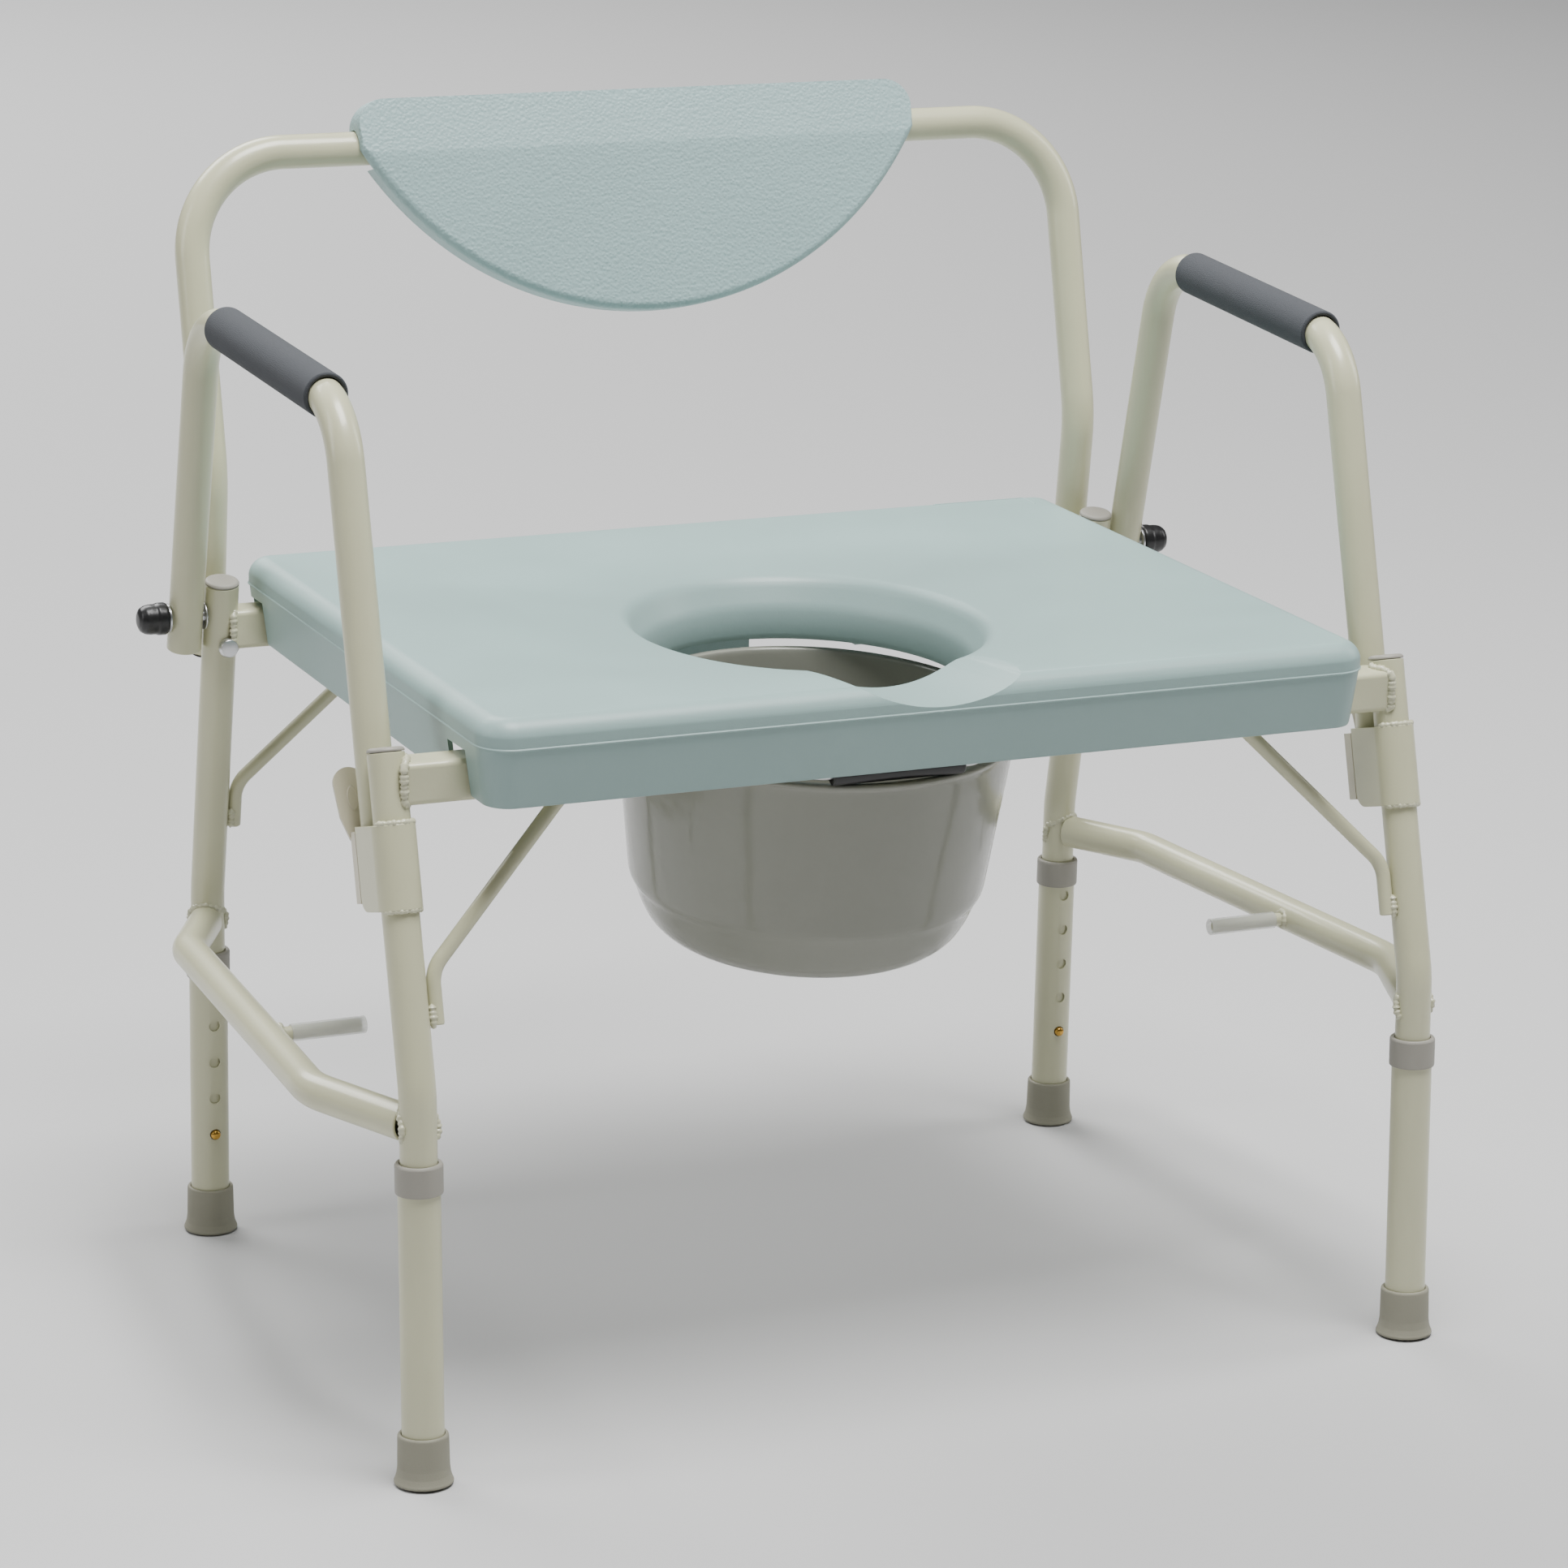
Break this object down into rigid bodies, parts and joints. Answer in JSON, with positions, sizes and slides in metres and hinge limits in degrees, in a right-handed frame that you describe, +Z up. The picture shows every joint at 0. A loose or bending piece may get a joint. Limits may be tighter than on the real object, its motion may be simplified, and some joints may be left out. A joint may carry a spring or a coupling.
{
  "type": "commode chair",
  "caption": "Drop-arm commode chair: bent tube frame, moulded seat with an oval opening, half-round backrest, hung pail and telescoping legs.",
  "frame": {"origin": "on the floor under the middle of the chair", "axes": "+Z up, -Y the front where the sitter faces, +X across the chair"},
  "size_m": [0.7532, 0.5352, 0.7509],
  "materials": {
    "painted_tube": "warm grey powder coat",
    "painted_lever": "powder coat",
    "grey_plastic": "moulded",
    "foot_rubber": "moulded rubber",
    "brass": "plain",
    "clear_vinyl": "clear tube",
    "grip_foam": "foam",
    "zinc_steel": "zinc plated",
    "black_plastic": "moulded",
    "seat_plastic": "fine grain",
    "pail_plastic": "glossy"
  },
  "bodies": {
    "frame": {"front_post_right": "painted_tube", "front_post_left": "painted_tube", "rear_post_right": "painted_tube", "rear_post_left": "painted_tube", "front_post_cap_right": "grey_plastic", "front_post_cap_left": "grey_plastic", "rear_post_cap_right": "grey_plastic", "rear_post_cap_left": "grey_plastic", "side_stretcher_right": "painted_tube", "side_stretcher_left": "painted_tube", "arm_peg_right": "painted_tube", "arm_peg_left": "painted_tube", "peg_sleeve_right": "clear_vinyl", "peg_sleeve_left": "clear_vinyl", "front_brace_right": "painted_tube", "front_brace_left": "painted_tube", "rear_brace_right": "painted_tube", "rear_brace_left": "painted_tube", "arm_socket_right": "painted_tube", "arm_socket_left": "painted_tube", "pivot_bolt_right": "zinc_steel", "pivot_bolt_left": "zinc_steel", "pivot_nut_right": "black_plastic", "pivot_nut_left": "black_plastic", "back_frame_plug_right": "black_plastic", "back_frame_plug_left": "black_plastic", "back_bolt_right": "zinc_steel", "back_bolt_left": "zinc_steel", "pail_guide_right": "grey_plastic", "pail_guide_left": "grey_plastic", "front_rail": "painted_tube", "rear_rail": "painted_tube", "back_frame": "painted_tube", "backrest_panel": "seat_plastic", "seat": "seat_plastic"},
    "front_leg_right": {"front_leg_tube_right": "painted_tube", "front_leg_collar_right": "grey_plastic", "front_foot_right": "foot_rubber"},
    "front_button_right": {"front_snap_button_right": "brass"},
    "front_leg_left": {"front_leg_tube_left": "painted_tube", "front_leg_collar_left": "grey_plastic", "front_foot_left": "foot_rubber"},
    "front_button_left": {"front_snap_button_left": "brass"},
    "rear_leg_right": {"rear_leg_tube_right": "painted_tube", "rear_leg_collar_right": "grey_plastic", "rear_foot_right": "foot_rubber"},
    "rear_button_right": {"rear_snap_button_right": "brass"},
    "rear_leg_left": {"rear_leg_tube_left": "painted_tube", "rear_leg_collar_left": "grey_plastic", "rear_foot_left": "foot_rubber"},
    "rear_button_left": {"rear_snap_button_left": "brass"},
    "arm_right": {"arm_tube_right": "painted_tube", "arm_grip_right": "grip_foam"},
    "latch_right": {"latch_lever_right": "painted_lever"},
    "arm_left": {"arm_tube_left": "painted_tube", "arm_grip_left": "grip_foam"},
    "latch_left": {"latch_lever_left": "painted_lever"},
    "pail": {"pail": "pail_plastic"},
    "bail": {"pail_bail": "zinc_steel", "pail_bail_grip": "black_plastic"}
  },
  "joints": [
    {"name": "front_leg_slide_right", "type": "slide", "parent": "frame", "child": "front_leg_right", "axis": [0, -0.0262, -0.9997], "range_m": [0, 0.1016], "deforming": ["front_snap_button_right"]},
    {"name": "front_button_press_right", "type": "slide", "parent": "frame", "child": "front_button_right", "axis": [0, -0.9997, 0.0262], "range_m": [0, 0.005], "stiffness_N_per_m": 600, "springref_m": -0.003},
    {"name": "front_leg_slide_left", "type": "slide", "parent": "frame", "child": "front_leg_left", "axis": [0, -0.0262, -0.9997], "range_m": [0, 0.1016], "deforming": ["front_snap_button_left"]},
    {"name": "front_button_press_left", "type": "slide", "parent": "frame", "child": "front_button_left", "axis": [0, -0.9997, 0.0262], "range_m": [0, 0.005], "stiffness_N_per_m": 600, "springref_m": -0.003},
    {"name": "rear_leg_slide_right", "type": "slide", "parent": "frame", "child": "rear_leg_right", "axis": [0, 0.0262, -0.9997], "range_m": [0, 0.1016], "deforming": ["rear_snap_button_right"]},
    {"name": "rear_button_press_right", "type": "slide", "parent": "frame", "child": "rear_button_right", "axis": [0, 0.9997, 0.0262], "range_m": [0, 0.005], "stiffness_N_per_m": 600, "springref_m": -0.003},
    {"name": "rear_leg_slide_left", "type": "slide", "parent": "frame", "child": "rear_leg_left", "axis": [0, 0.0262, -0.9997], "range_m": [0, 0.1016], "deforming": ["rear_snap_button_left"]},
    {"name": "rear_button_press_left", "type": "slide", "parent": "frame", "child": "rear_button_left", "axis": [0, 0.9997, 0.0262], "range_m": [0, 0.005], "stiffness_N_per_m": 600, "springref_m": -0.003},
    {"name": "arm_drop_right", "type": "hinge", "parent": "frame", "child": "arm_right", "pos_m": [0.3379, 0.17766, 0.4326], "axis": [1, 0, 0], "range_deg": [0, 77]},
    {"name": "latch_release_right", "type": "hinge", "parent": "arm_right", "child": "latch_right", "pos_m": [0.332, -0.1716, 0.37989], "axis": [1, 0, 0], "range_deg": [0, 8], "stiffness_Nm_per_rad": 0.6, "springref_deg": -8.59},
    {"name": "arm_drop_left", "type": "hinge", "parent": "frame", "child": "arm_left", "pos_m": [-0.3379, 0.17766, 0.4326], "axis": [1, 0, 0], "range_deg": [0, 77]},
    {"name": "latch_release_left", "type": "hinge", "parent": "arm_left", "child": "latch_left", "pos_m": [-0.332, -0.1716, 0.37989], "axis": [1, 0, 0], "range_deg": [0, 8], "stiffness_Nm_per_rad": 0.6, "springref_deg": -8.59},
    {"name": "pail_slide", "type": "slide", "parent": "frame", "child": "pail", "axis": [0, -0.9934, -0.1149], "range_m": [0, 0.28]},
    {"name": "bail_lift", "type": "hinge", "parent": "pail", "child": "bail", "pos_m": [0, -0.05918, 0.39648], "axis": [-1, 0, 0], "range_deg": [0, 4]}
  ]
}
